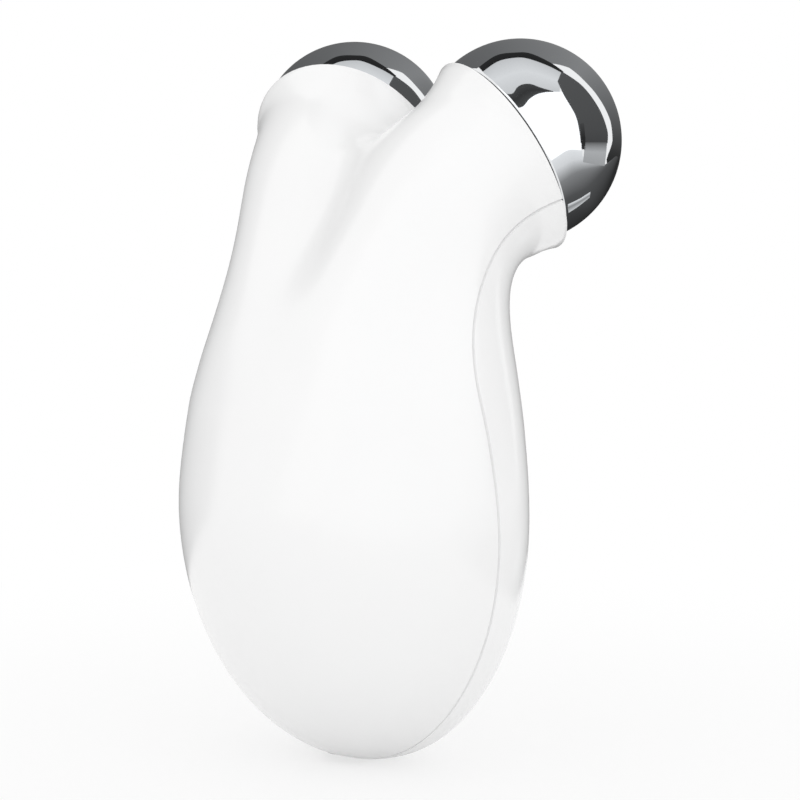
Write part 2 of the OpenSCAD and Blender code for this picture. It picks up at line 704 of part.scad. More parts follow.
module battery_cell() {
    color("steelblue") panel() translate([0, cell_y, -cell_drop]) rotate_extrude() polygon([
        [0, 0], [cell_r - 0.6, 0], [cell_r, 0.6], [cell_r, cell_len - 2.4], [cell_r - 0.3, cell_len - 2],
        [cell_r, cell_len - 1.6], [cell_r, cell_len - 0.5], [cell_r - 0.5, cell_len], [0, cell_len]
    ]);
}
module protection_board() {
    color("seagreen") panel() translate([0, cell_y, cell_len - cell_drop + 0.3])
        cylinder(h = 1, r = cell_r - 1);
}
module battery_pad() {
    color("dimgray") difference() {
        panel() translate([-pad_w / 2, cell_y + cell_r - 2, cell_mid - pad_len / 2])
            cube([pad_w, pad_back - cell_y - cell_r + 2, pad_len]);
        panel() translate([0, cell_y, -cell_drop - 1]) cylinder(h = cell_len + 2, r = cell_r + 0.02);
    }
}
plug_w = 6;
plug_h = 3.6;
module battery_connector() {
    color("ivory") panel() difference() {
        translate([-plug_w / 2, board_depth - 3.5, board_top - plug_h - 0.2]) cube([plug_w, 3.5, plug_h]);
        for (x = [-1, 1])
            translate([x * 1.5 - 0.8, board_depth - 2.6, board_top - 1.4]) cube([1.6, 1.6, 2]);
    }
}

// --- charging socket in the base ---

flange_r = bush_d / 2 + 0.9;
flange_z = 10 + fit_gap - min([for (a = [0:30:330])
    cross_skin([flange_r * cos(a), flange_r * sin(a), 10], [0, 0, -1], 0, 12, "inner")]);
block_z = flange_z + 0.8;
block_w = 10;
block_d = 8;
module charging_socket() {
    color("black") difference() {
        union() {
            cylinder(h = block_z, r = bush_d / 2);
            translate([0, 0, flange_z]) cylinder(h = block_z - flange_z, r = flange_r);
            translate([-block_w / 2, -block_d / 2, block_z - 0.1])
                cube([block_w, block_d, block_top - block_z + 0.1]);
        }
        translate([0, 0, -1]) cylinder(h = socket_depth + 1, r = socket_bore / 2);
    }
}
module socket_tags() {
    color("gold") for (x = [-3, 0, 3])
        translate([x - 0.7, -0.15, block_top]) cube([1.4, 0.3, tag_top - block_top]);
}

// --- leads: insulated wires, each an eight-sided tube along a smooth route ---

lead_d = 1.2;
function unit(v) = v / norm(v);
// Points along a smooth curve through the route's points
function curve(p, n = 4) = concat([for (i = [0:len(p) - 2], k = [0:n - 1])
    let(a = p[max(i - 1, 0)], b = p[i], c = p[i + 1], d = p[min(i + 2, len(p) - 1)], t = k / n)
    b + t * (c - a) / 2 + t * t * (2 * a - 5 * b + 4 * c - d) / 2 + t * t * t * (3 * b - a - 3 * c + d) / 2],
    [p[len(p) - 1]]);
function heading(p, i) = unit(p[min(i + 1, len(p) - 1)] - p[max(i - 1, 0)]);
function frames(p, i, side) = let(t = heading(p, i), u = unit(side - (side * t) * t))
    i == len(p) - 1 ? [[t, u]] : concat([[t, u]], frames(p, i + 1, u));
module lead(route, side = [0.3, 0.2, 0.1]) {
    path = curve(route);
    sides = 8;
    last = len(path) - 1;
    points = [for (i = [0:last], f = [frames(path, 0, side)[i]], j = [0:sides - 1])
        path[i] + lead_d / 2 * (cos(360 * j / sides) * f[1] + sin(360 * j / sides) * cross(f[0], f[1]))];
    tube = [for (i = [0:last - 1], j = [0:sides - 1])
        let(a = i * sides + j, b = i * sides + (j + 1) % sides)
        each [[a, a + sides, b + sides], [a, b + sides, b]]];
    ends = [[for (j = [0:sides - 1]) j], [for (j = [sides - 1:-1:0]) last * sides + j]];
    polyhedron(points, concat(tube, ends), convexity = 4);
}

electrode_pad_x = board_w / 2 - 6;
module electrode_lead(side) {
    start = carrier_back + terminal_t;
    lead([
        from_ball(side, [-side * (tab_end - 0.8), 0, -start - 0.1]),
        from_ball(side, [-side * (tab_end - 0.8), 0, -start - 3]),
        on_panel(side * 8, 7.5, board_top + 9),
        on_panel(side * electrode_pad_x, 6, board_top + 3),
        on_panel(side * electrode_pad_x, 6, board_top - 1.2),
        on_panel(side * electrode_pad_x, board_depth - 0.1, board_top - 2)
    ]);
}
module left_electrode_lead() {
    color("red") electrode_lead(-1);
}
module right_electrode_lead() {
    color("red") electrode_lead(1);
}
module battery_leads() {
    top = cell_len - cell_drop + 1.3;
    color("orange") for (side = [-1, 1]) lead([
        on_panel(side * 5.6, cell_y - 4, top + 0.1),
        on_panel(side * 5.6, cell_y - 4, top + 3),
        on_panel(side * 3.5, chassis_back + 1, chassis_top + 1.8),
        on_panel(side * 2, board_depth, chassis_top + 2.2),
        on_panel(side * 1.5, board_depth - 1.8, board_top + 1.6),
        on_panel(side * 1.5, board_depth - 1.8, board_top - 1.2)
    ]);
}
socket_pad_x = board_w / 2 - 8;
module socket_leads() {
    color("orange") for (side = [-1, 1]) lead([
        [side * 3, -0.2, block_top + 1.2],
        [side * 3, -3.5, block_top + 1.4],
        [side * 3.6, -8, block_top + 2],
        on_panel(side * 4.5, chassis_depth, -chassis_bottom - 2),
        on_panel(side * 5, chassis_depth - 1.4, 1.5 - chassis_bottom),
        on_panel(side * socket_pad_x, board_depth - 1, -board_bottom - 4),
        on_panel(side * socket_pad_x, board_depth - 2.4, -board_bottom - 1),
        on_panel(side * socket_pad_x, board_depth - 2.2, -board_bottom + 1.2),
        on_panel(side * socket_pad_x, board_depth - 0.1, -board_bottom + 2)
    ]);
}

rear_casing();
front_casing();
left_electrode();
right_electrode();
electrode_seals();
electrode_carriers();
electrode_terminals();
electrode_screws();
left_electrode_lead();
right_electrode_lead();
button_bezel();
power_button();
switch_plunger();
switch_dome();
tact_switch();
light_guide();
indicator_leds();
circuit_board();
controller_chip();
boost_inductor();
capacitors();
buzzer();
board_screws();
chassis();
chassis_screws();
battery_cell();
protection_board();
battery_pad();
battery_connector();
battery_leads();
charging_socket();
socket_tags();
socket_leads();
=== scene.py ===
"""Handheld facial toning device: a glossy white body that parts into two splayed necks, each with a
chromed ball electrode, seen from behind as in the photograph. The sections follow the device as it is
put together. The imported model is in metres; the body's own form is worked out here in millimetres."""

import math

import bmesh
import bpy
import numpy as np
from mathutils import Matrix, Vector


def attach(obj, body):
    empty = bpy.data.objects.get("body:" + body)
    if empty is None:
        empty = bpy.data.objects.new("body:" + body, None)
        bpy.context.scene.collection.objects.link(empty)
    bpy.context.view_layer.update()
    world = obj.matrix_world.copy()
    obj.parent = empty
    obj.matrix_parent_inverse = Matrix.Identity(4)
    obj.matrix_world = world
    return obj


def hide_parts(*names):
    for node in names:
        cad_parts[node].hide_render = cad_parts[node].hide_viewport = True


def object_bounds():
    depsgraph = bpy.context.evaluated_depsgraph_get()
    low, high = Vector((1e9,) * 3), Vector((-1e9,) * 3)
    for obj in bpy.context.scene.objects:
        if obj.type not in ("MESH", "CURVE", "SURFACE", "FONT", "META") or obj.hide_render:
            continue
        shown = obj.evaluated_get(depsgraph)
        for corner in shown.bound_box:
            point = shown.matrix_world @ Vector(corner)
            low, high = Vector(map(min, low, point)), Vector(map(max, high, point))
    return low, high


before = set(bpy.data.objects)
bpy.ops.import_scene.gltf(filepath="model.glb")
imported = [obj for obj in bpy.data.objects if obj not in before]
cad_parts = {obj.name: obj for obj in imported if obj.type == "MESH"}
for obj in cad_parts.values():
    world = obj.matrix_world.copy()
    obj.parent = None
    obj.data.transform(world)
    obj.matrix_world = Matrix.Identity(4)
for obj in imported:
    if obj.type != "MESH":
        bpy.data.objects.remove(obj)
cad_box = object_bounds()

# --- Camera ---
# The view of the photograph: from behind the device's left shoulder, a little above the floor,
# with a long lens. The focal length is given in pixels of the 800-pixel frame.

MM = 0.001
camera_azimuth = math.radians(226.61)
camera_elevation = math.radians(7.1)
camera_roll = math.radians(-0.31)
camera_distance = 407.4 * MM
camera_aim = Vector((0.2, -11.3, 54.2)) * MM
frame_px = 800
focal_px = 2584
sensor_width = 36.0

towards_camera = Vector((
    math.sin(camera_azimuth) * math.cos(camera_elevation),
    -math.cos(camera_azimuth) * math.cos(camera_elevation),
    math.sin(camera_elevation),
))
level_right = Vector((0, 0, 1)).cross(towards_camera).normalized()
level_up = towards_camera.cross(level_right)
image_right = level_right * math.cos(camera_roll) + level_up * math.sin(camera_roll)
image_up = towards_camera.cross(image_right)

camera_data = bpy.data.cameras.new("camera")
camera_data.sensor_width = sensor_width
camera_data.lens = sensor_width * focal_px / frame_px
camera_data.clip_start = 0.01
camera = bpy.data.objects.new("camera", camera_data)
camera.matrix_world = Matrix((
    (*image_right, 0), (*image_up, 0), (*towards_camera, 0), (0, 0, 0, 1)
)).transposed()
camera.location = camera_aim + towards_camera * camera_distance
bpy.context.scene.collection.objects.link(camera)
bpy.context.scene.camera = camera
bpy.context.scene.view_settings.view_transform = "Standard"

# --- Studio ---
# A white table top that fades into a white surround, soft boxes round the camera, and grey cards
# that only show as reflections, as a photographer sets them to give chrome its edges.


def linear(hex_colour):
    """sRGB hex to linear RGBA."""
    channels = [int(hex_colour[i:i + 2], 16) / 255 for i in (1, 3, 5)]
    return (*[c / 12.92 if c <= 0.04045 else ((c + 0.055) / 1.055) ** 2.4 for c in channels], 1.0)


def add(tree, kind, inputs=None, **settings):
    """A node of that kind, with its settings, and its inputs set to values or linked to sockets."""
    made = tree.nodes.new(kind)
    for name, value in settings.items():
        setattr(made, name, value)
    for name, value in (inputs or {}).items():
        if isinstance(value, bpy.types.NodeSocket):
            tree.links.new(value, made.inputs[name])
        else:
            made.inputs[name].default_value = value
    return made


def empty_material(name):
    """A material with no nodes yet."""
    made = bpy.data.materials.new(name)
    made.use_nodes = True
    made.node_tree.nodes.clear()
    return made


def new_object(name, vertices, faces, smooth=True):
    """An object in the scene from points in metres and faces between them."""
    mesh = bpy.data.meshes.new(name)
    mesh.from_pydata([tuple(v) for v in vertices], [], [tuple(f) for f in faces])
    mesh.update()
    if smooth:
        mesh.polygons.foreach_set("use_smooth", [True] * len(mesh.polygons))
    made = bpy.data.objects.new(name, mesh)
    bpy.context.scene.collection.objects.link(made)
    return made


floor_gap = 0.02 * MM
floor_z = cad_box[0][2] - floor_gap
floor_half = 3.0
shadow_near, shadow_far = 0.02, 0.16
table_white = 0.74
fill_level = 0.955

floor = new_object("floor", [
    (-floor_half, -floor_half, floor_z), (floor_half, -floor_half, floor_z),
    (floor_half, floor_half, floor_z), (-floor_half, floor_half, floor_z),
], [(0, 1, 2, 3)], smooth=False)


def seen_directly(tree):
    """1 for rays that show a thing to the camera, by itself, in a mirror or through glass."""
    path = add(tree, "ShaderNodeLightPath")
    plain = add(tree, "ShaderNodeMath", {
        0: path.outputs["Is Camera Ray"], 1: path.outputs["Is Glossy Ray"],
    }, operation="MAXIMUM")
    return add(tree, "ShaderNodeMath", {
        0: plain.outputs[0], 1: path.outputs["Is Transmission Ray"],
    }, operation="MAXIMUM").outputs[0]


# The laminate lights the device from below as a real table top does, and is washed out to white
table_paint = empty_material("white laminate table top")
tree = table_paint.node_tree
place = add(tree, "ShaderNodeNewGeometry")
distance = add(tree, "ShaderNodeVectorMath", {0: place.outputs["Position"]}, operation="LENGTH")
fade = add(tree, "ShaderNodeMapRange", {
    "Value": distance.outputs["Value"], "From Min": shadow_near, "From Max": shadow_far,
    "To Min": table_white, "To Max": 1.0,
}, interpolation_type="SMOOTHSTEP")
washed = add(tree, "ShaderNodeMath", {
    0: fade.outputs["Result"], 1: seen_directly(tree),
}, operation="MULTIPLY")
laminate = add(tree, "ShaderNodeBsdfDiffuse", {"Color": linear("#f0f0f0")})
surround = add(tree, "ShaderNodeEmission", {"Color": linear("#ffffff"), "Strength": 1.0})
mixed = add(tree, "ShaderNodeMixShader", {
    "Fac": washed.outputs[0], 1: laminate.outputs[0], 2: surround.outputs[0],
})
add(tree, "ShaderNodeOutputMaterial", {"Surface": mixed.outputs[0]})
floor.data.materials.append(table_paint)

world = bpy.data.worlds.new("white surround")
bpy.context.scene.world = world
world.use_nodes = True
tree = world.node_tree
tree.nodes.clear()
fill = add(tree, "ShaderNodeBackground", {"Color": linear("#ffffff"), "Strength": fill_level})
white = add(tree, "ShaderNodeBackground", {"Color": linear("#ffffff"), "Strength": 1.0})
mixed = add(tree, "ShaderNodeMixShader", {
    "Fac": seen_directly(tree), 1: fill.outputs[0], 2: white.outputs[0],
})
add(tree, "ShaderNodeOutputWorld", {"Surface": mixed.outputs[0]})


def soft_box(name, right, up, back, width, height, power):
    """A soft box at a place given along the camera's own axes, facing the device."""
    data = bpy.data.lights.new(name, "AREA")
    data.shape = "RECTANGLE"
    data.size, data.size_y = width, height
    data.energy = power
    made = bpy.data.objects.new(name, data)
    middle = Vector((0, 0, (cad_box[0][2] + cad_box[1][2]) / 2))
    made.location = middle + image_right * right + image_up * up + towards_camera * back
    made.rotation_euler = (made.location - middle).to_track_quat("Z", "Y").to_euler()
    bpy.context.scene.collection.objects.link(made)


soft_box("key_box", 0.75, 0.35, 1.0, 0.8, 0.8, 1.3)
soft_box("left_box", -0.9, 0.3, 0.8, 0.6, 1.0, 0.9)
soft_box("top_box", 0.0, 1.3, 0.1, 1.0, 0.8, 0.5)

# The cards are set by where they are to show in the near ball: to the right and up from its middle,
# in ball radii, as the camera sees it
near_ball = Vector((-18.65, -18.91, 94.94)) * MM
card_distance, front_share, layer_share = 1.2, 0.95, 0.01
above_floor = 1 * MM
card_columns, card_rows = 33, 12
ball_to_camera = (camera.location - near_ball).normalized()
ball_right = (image_right - image_right.dot(ball_to_camera) * ball_to_camera).normalized()
ball_up = ball_to_camera.cross(ball_right)


def mirrored(right, up, layer):
    """Place in the studio that the near ball shows at a point of its disc.

    It is at the cards' distance, or on the floor where that is nearer. A low layer lies in front."""
    off = min(math.hypot(right, up), 1.0)
    turn, away = math.atan2(up, right), 2 * math.asin(off)
    way = (ball_to_camera * math.cos(away)
           + (ball_right * math.cos(turn) + ball_up * math.sin(turn)) * math.sin(away))
    to_floor = (floor_z + above_floor - near_ball.z) / way.z if way.z < 0 else card_distance
    return near_ball + way * min(card_distance, to_floor) * (1 + layer_share * layer) * front_share


def smooth_line(points, count):
    """Points evenly along a smooth curve through the given ones."""
    ends = [points[0], *points, points[-1]]
    line = []
    for i in range(count):
        k, t = divmod(i * (len(points) - 1) / (count - 1), 1)
        a, b, c, d = (np.array(p) for p in (ends[int(k):int(k) + 4] + [ends[-1]])[:4])
        line.append(b + t * (c - a) / 2 + t * t * (2 * a - 5 * b + 4 * c - d) / 2
                    + t ** 3 * (3 * b - a - 3 * c + d) / 2)
    return line


def card(name, layer, rows, tones, strength=1.0, down=card_rows):
    """A card that only reflections see, through rows of points, with greys spaced evenly down it."""
    across = card_columns
    rows = [smooth_line(row, across) for row in rows]
    lines = [smooth_line([row[c] for row in rows], (len(rows) - 1) * down + 1) for c in range(across)]
    count = len(lines[0])
    levels = np.interp(np.linspace(0, len(tones) - 1, count), range(len(tones)),
                       [linear(tone)[0] for tone in tones])
    made = new_object(name, [mirrored(*lines[c][r], layer) for r in range(count) for c in range(across)], [
        (r * across + c, r * across + c + 1, (r + 1) * across + c + 1, (r + 1) * across + c)
        for r in range(count - 1) for c in range(across - 1)
    ])
    shades = made.data.attributes.new("shade", "FLOAT", "POINT")
    shades.data.foreach_set("value", np.repeat(levels, across))
    for ray in ("camera", "diffuse", "shadow", "transmission"):
        setattr(made, "visible_" + ray, False)
    paper = empty_material(name + " paper")
    tree = paper.node_tree
    shade = add(tree, "ShaderNodeAttribute", attribute_name="shade")
    level = add(tree, "ShaderNodeMath", {0: shade.outputs["Fac"], 1: strength}, operation="MULTIPLY")
    glow = add(tree, "ShaderNodeEmission", {"Color": linear("#fbfdff"), "Strength": level.outputs[0]})
    add(tree, "ShaderNodeOutputMaterial", {"Surface": glow.outputs[0]})
    made.data.materials.append(paper)


# The dark room behind the device, seen all round the edge of the ball: degrees above its right, and
# the radius at which the room begins
room_edge = [
    (-160, 0.80), (-135, 0.90), (-105, 0.95), (-75, 0.96), (-48, 0.955), (-30, 0.94), (-11, 0.85),
    (-1, 0.898), (12, 0.898), (28, 0.868), (42, 0.848), (56, 0.848), (69, 0.80), (84, 0.84),
    (100, 0.85), (118, 0.815), (150, 0.80), (200, 0.80),
]
room_step = 4
room_rows = []
for turn in range(room_edge[0][0], room_edge[-1][0] + 1, room_step):
    way = np.array([math.cos(math.radians(turn)), math.sin(math.radians(turn))])
    inner = np.interp(turn, *zip(*room_edge))
    room_rows.append([tuple(way * inner), tuple(way * (inner + 1) / 2), tuple(way)])
card("room", 4, room_rows, [
    "#606060", "#484848", "#383838", "#2e2e2e", "#2c2c2c", "#303030", "#6a6a6a", "#8a8a8a", "#7c7c7c",
    "#6c6c6c", "#606060", "#5c5c5c", "#606060",
], down=1)

# The dark flat at the right of the white gap, with its own darker edge and its lit foot
card("dark_flat", 1, [
    [(0.36, 0.57), (0.40, 0.67)], [(0.42, 0.44), (0.60, 0.53)], [(0.53, 0.25), (0.76, 0.32)],
    [(0.57, 0.10), (0.845, 0.11)], [(0.585, -0.02), (0.85, -0.02)],
], ["#585858", "#565656", "#545454", "#505050", "#484848"])
card("flat_edge", 0, [
    [(0.575, 0.17), (0.615, 0.17)], [(0.59, 0.03), (0.63, 0.03)], [(0.592, -0.08), (0.63, -0.08)],
], ["#4a4a4a", "#2c2c2c", "#363636"])
card("flat_foot", 0, [
    [(0.63, -0.01), (0.845, -0.01)], [(0.615, -0.10), (0.835, -0.11)], [(0.60, -0.20), (0.815, -0.24)],
], ["#565656", "#b8b8b8", "#a8a8a8"])

# The pale ceiling, the dark edge behind it, and a dark card before the window
card("ceiling_edge", 0, [
    [(-0.40, 0.71), (-0.23, 0.825), (-0.04, 0.852), (0.10, 0.842), (0.29, 0.755), (0.42, 0.665)],
    [(-0.36, 0.665), (-0.21, 0.766), (-0.04, 0.80), (0.08, 0.789), (0.26, 0.725), (0.40, 0.655)],
], ["#2e2e2e", "#262626"])
card("ceiling", 2, [
    [(-0.36, 0.67), (-0.21, 0.775), (-0.04, 0.81), (0.08, 0.80), (0.26, 0.735), (0.40, 0.66)],
    [(-0.30, 0.56), (-0.20, 0.60), (-0.02, 0.66), (0.10, 0.66), (0.26, 0.61), (0.39, 0.57)],
    [(-0.24, 0.42), (-0.14, 0.42), (-0.02, 0.44), (0.10, 0.46), (0.24, 0.47), (0.38, 0.47)],
], ["#cccccc", "#e8e8e8", "#d2d2d2"])
card("dark_patch", 0, [
    [(-0.17, 0.455), (-0.075, 0.452), (-0.03, 0.51), (0.02, 0.54), (0.10, 0.545), (0.20, 0.51),
     (0.32, 0.475)],
    [(-0.10, 0.38), (-0.03, 0.40), (0.00, 0.43), (0.06, 0.47), (0.13, 0.49), (0.22, 0.485),
     (0.32, 0.472)],
    [(-0.06, 0.30), (0.02, 0.325), (0.05, 0.35), (0.09, 0.40), (0.16, 0.445), (0.24, 0.465),
     (0.32, 0.469)],
], ["#4a4a4a", "#3a3a3a", "#505050"])

# The bright window at the camera's side
window_strength = 1.35
card("window", 3, [
    [(-0.30, 0.48), (0.05, 0.48), (0.42, 0.47)], [(-0.30, 0.14), (0.10, 0.15), (0.57, 0.16)],
    [(-0.30, -0.20), (0.30, -0.19), (0.60, -0.08)],
], ["#ffffff", "#ffffff", "#ffffff"], strength=window_strength)

# The table as the ball shows it, with painted shade that darkens it towards the device, and a bright edge
# on it
card("table", 2, [
    [(0.24, -0.22), (0.35, -0.15), (0.47, -0.085), (0.60, -0.09)],
    [(0.27, -0.30), (0.40, -0.23), (0.50, -0.18), (0.62, -0.17)],
    [(0.30, -0.44), (0.42, -0.36), (0.55, -0.29), (0.80, -0.23)],
    [(0.33, -0.58), (0.50, -0.50), (0.66, -0.42), (0.93, -0.15)],
    [(0.36, -0.74), (0.52, -0.67), (0.72, -0.58), (0.96, -0.16)],
    [(0.40, -0.91), (0.60, -0.78), (0.80, -0.58), (0.98, -0.12)],
], ["#f4f4f4", "#e2e2e2", "#8a8a8a", "#565656", "#404040", "#2c2c2c"])
card("table_edge", 0, [
    [(0.45, -0.585), (0.56, -0.54), (0.67, -0.48)], [(0.45, -0.62), (0.56, -0.57), (0.67, -0.51)],
    [(0.46, -0.67), (0.56, -0.61), (0.665, -0.535)],
], ["#ffffff", "#909090", "#d8d8d8"])

# --- Body form ---
# Both casings are moulded to one form: an egg that blends into two flared necks. Places in it are
# given along a straight spine, which is then bent forward. The form is a distance-like field that is
# negative inside, so that the skin, the wall behind it and everything on them share their sizes.

body_w, widest_z, base_z, body_forward, rear_d, front_d = 62.4, 38.6, -1.64, 3.8, 28.0, 17.0
crown_w, crown_rear_d, crown_front_d, crown_rise = 62.0, 10.0, 20.0, 48.6
wall, neck_blend, crotch_blend = 2.0, 25.0, 8.2
ball_d, ball_pitch, ball_z, ball_back, splay = 31.0, 37.3, 101.4, 4.8, math.radians(18.2)
rim_setback, rim_d, neck_root_d, neck_len, neck_flare = 3.7, 31.4, 14.8, 31.6, 2.78
bend_start, bend_end = 58.2, 93.0
base_lean, head_lean = math.radians(7.6), math.radians(58.8)
mouth_recess = 1.2
# How far a search for the skin goes, how often it halves its stretch, and the step of the normals
reach, halvings, normal_step = 45.0, 34, 1.2

ball_centre = np.array([ball_pitch / 2, ball_back, ball_z])
neck_axis = np.array([math.sin(splay), 0, math.cos(splay)])
rim_centre = ball_centre - rim_setback * neck_axis
rim_top = rim_centre[2] + rim_centre[0] * math.tan(splay)
low_r = bend_start / (2 * base_lean)
high_r = (bend_end - bend_start) / (base_lean + head_lean)
low_c = np.array([low_r * math.cos(base_lean), low_r * math.sin(base_lean) - mouth_recess])
high_c = low_c - (low_r + high_r) * np.array([math.cos(base_lean), -math.sin(base_lean)])
head_back = np.array([math.cos(head_lean), math.sin(head_lean)])
head_up = np.array([-math.sin(head_lean), math.cos(head_lean)])
head_o = high_c + high_r * head_back


def blend_min(a, b, r):
    """The smaller of two fields, with a round fillet where they are within r of each other."""
    h = np.maximum(r - np.abs(a - b), 0) / r
    return np.minimum(a, b) - h * h * r / 4


def ease(t):
    """A smooth rise from 0 to 1."""
    u = np.clip(t, 0, 1)
    return u * u * (3 - 2 * u)


def egg_field(q):
    """The egg, which stands in the device's own frame."""
    x, y, h = q[..., 0], q[..., 1] + body_forward, q[..., 2] - widest_z
    g = ease(h / crown_rise)
    half_w = (body_w + (crown_w - body_w) * g) / 2
    half_d = np.where(y < 0, front_d + (crown_front_d - front_d) * g, rear_d + (crown_rear_d - rear_d) * g)
    half_h = np.where(h < 0, widest_z - base_z, crown_rise)
    f = np.maximum(np.sqrt((x / half_w) ** 2 + (y / half_d) ** 2 + (h / half_h) ** 2), 1e-4)
    return np.sqrt(x * x + y * y + h * h) * (1 - 1 / f)


def neck_field(p):
    """One neck, which is straight before the spine is bent."""
    q = p - rim_centre
    s = q @ neck_axis
    r = np.linalg.norm(q - s[..., None] * neck_axis, axis=-1)
    flare = (1 - np.clip(-s / neck_len, 0, 1)) ** neck_flare
    return np.hypot(r, np.minimum(s + neck_len, 0)) - (neck_root_d + (rim_d - neck_root_d) * flare) / 2


def outer_field(p):
    """The outer skin, at points of the straight frame."""
    necks = blend_min(neck_field(p), neck_field(p * np.array([-1, 1, 1])), crotch_blend)
    return blend_min(egg_field(bend(p)), necks, neck_blend)


def inner_field(p):
    """The inner skin, a wall behind the outer one."""
    return outer_field(p) + wall


def lean(z):
    """How far the spine leans at a height of the straight frame."""
    slow = base_lean * (1 - 2 * z / bend_start)
    quick = (base_lean + head_lean) * (z - bend_start) / (bend_end - bend_start) - base_lean
    return np.where(z < bend_start, slow, np.minimum(quick, head_lean))


def bend(p):
    """From the straight frame to the device's own, in millimetres."""
    x, y, z = p[..., 0], p[..., 1], p[..., 2]
    a = lean(z)
    back = np.stack([np.cos(a), np.sin(a)], -1)
    low = low_c - (low_r - y)[..., None] * back
    high = high_c + (high_r + y)[..., None] * back
    head = head_o + (z - bend_end)[..., None] * head_up + y[..., None] * head_back
    yz = np.where((z < bend_start)[..., None], low, np.where((z < bend_end)[..., None], high, head))
    return np.concatenate([x[..., None], yz], axis=-1)


def unbend(q):
    """From the device's frame back to the straight one."""
    yz = q[..., 1:]
    rise = (yz - head_o) @ head_up
    a = np.arctan2(low_c[1] - yz[..., 1], low_c[0] - yz[..., 0])
    b = np.arctan2(yz[..., 1] - high_c[1], yz[..., 0] - high_c[0])
    low_y = low_r - np.linalg.norm(yz - low_c, axis=-1)
    high_y = np.linalg.norm(yz - high_c, axis=-1) - high_r
    low_z = bend_start / 2 * (1 - a / base_lean)
    high_z = bend_start + (b + base_lean) / (base_lean + head_lean) * (bend_end - bend_start)
    is_head, is_low = rise > 0, a > -base_lean
    y = np.where(is_head, (yz - head_o) @ head_back, np.where(is_low, low_y, high_y))
    z = np.where(is_head, bend_end + rise, np.where(is_low, low_z, high_z))
    return np.stack([q[..., 0], y, z], axis=-1)


def cross(field, start, along, near, far):
    """Distance from each start along each direction at which the field crosses zero."""
    near = np.broadcast_to(np.asarray(near, float), start.shape[:-1]).copy()
    far = np.broadcast_to(np.asarray(far, float), start.shape[:-1]).copy()
    for _ in range(halvings):
        middle = (near + far) / 2
        inside = field(start + middle[..., None] * along) < 0
        near = np.where(inside, middle, near)
        far = np.where(inside, far, middle)
    return (near + far) / 2


def skin_normals(q):
    """Outward unit normals of the outer skin at points of the device's frame.

    The step is wide, so that the slight kinks where the spine's bend changes don't show in the gloss."""
    slopes = []
    for axis in range(3):
        shift = np.zeros(3)
        shift[axis] = normal_step
        slopes.append(outer_field(unbend(q + shift)) - outer_field(unbend(q - shift)))
    n = np.stack(slopes, axis=-1)
    return n / np.maximum(np.linalg.norm(n, axis=-1, keepdims=True), 1e-12)


# --- Front panel frame ---
# The button, its bezel and the lamp windows share one frame that is tilted back with the front of
# the body. Depth runs into the body from the outer skin at the middle of the button.

panel_z, panel_tilt, sharp_edge = 50.0, math.radians(1), math.radians(40)
on_spine, forward = np.array([0.0, 0.0, panel_z]), np.array([0.0, -1.0, 0.0])
panel_origin = bend(on_spine + float(cross(outer_field, on_spine, forward, 0, reach)) * forward)
panel_in = np.array([0, math.cos(panel_tilt), -math.sin(panel_tilt)])
panel_up = np.array([0, math.sin(panel_tilt), math.cos(panel_tilt)])
inward = Matrix((
    (-1, 0, 0, 0), (0, *panel_up[[1, 2]], 0), (0, *panel_in[[1, 2]], 0), (0, 0, 0, 1)
)).transposed()


def on_panel(x, up):
    """Matrix of a frame on the front panel, in metres, whose own +Z points into the body."""
    place = panel_origin + np.array([x, 0, 0]) + up * panel_up
    return Matrix.Translation(Vector(place * MM)) @ inward


def turned(name, profile, segments, matrix):
    """A piece turned round its own Z from a closed outline of (radius, height) in millimetres."""
    vertices = []
    for r, z in profile:
        for i in range(segments):
            a = 2 * math.pi * i / segments
            vertices.append(matrix @ Vector((r * math.cos(a) * MM, r * math.sin(a) * MM, z * MM)))
    faces = []
    for k in range(len(profile)):
        following = (k + 1) % len(profile)
        if profile[k][0] == 0 and profile[following][0] == 0:
            continue
        for i in range(segments):
            j = (i + 1) % segments
            faces.append((k * segments + i, k * segments + j,
                          following * segments + j, following * segments + i))
    made = new_object(name, vertices, faces)
    build = bmesh.new()
    build.from_mesh(made.data)
    bmesh.ops.remove_doubles(build, verts=build.verts, dist=1e-8)
    bmesh.ops.recalc_face_normals(build, faces=build.faces)
    build.to_mesh(made.data)
    build.free()
    made.data.polygons.foreach_set("use_smooth", [True] * len(made.data.polygons))
    made.data.set_sharp_from_angle(angle=sharp_edge)
    return made


# --- Casings ---
# The rear and front casings are injection-moulded in gloss white ABS with 2 mm walls. They meet in
# a fine V groove along the parting line, where pegs and glue hold them, and their edges close
# round the balls as half rims.

# The V groove, and the knee in its wall as shares of its half width and its depth
seam_w, seam_d, knee_w, knee_d = 0.5, 0.6, 0.35, 0.7
# The rings of points from the base to the rims, and the hump in the saddle between the necks
arc_steps, ridge_steps, low_rings, high_rings, ring_crowding = 44, 10, 120, 34, 0.92
split_step, hump_len, hump_fade, waist_z = 0.12, 6.4, 14, 75.0
# Shares of the height over which the rings tilt to a neck and move onto its axis
tilt_from, tilt_over, shift_from, shift_over = 0.35, 0.55, 0.45, 0.4
rim_round, rim_steps = 0.16, 4
# A face is shaded as skin if its corners lie on the skin and it faces nearly the skin's way
skin_tolerance, least_facing, sharp_turn = 0.02, 0.8, math.radians(32)
button_r, button_gap, bezel_w, tube_wall = 7.1, 0.3, 1.6, 0.6
bezel_inner_r = button_r + button_gap
bezel_tube_r = bezel_inner_r + tube_wall
bezel_r = bezel_inner_r + bezel_w
pocket_depth, bezel_len, fit_gap = 1.3, 3.0, 0.1
lamp_d, lamp_pitch, lamp_rise, lamp_clear = 2.0, 5.0, 13.5, 0.05
bush_d, bush_clear = 8.4, 0.05


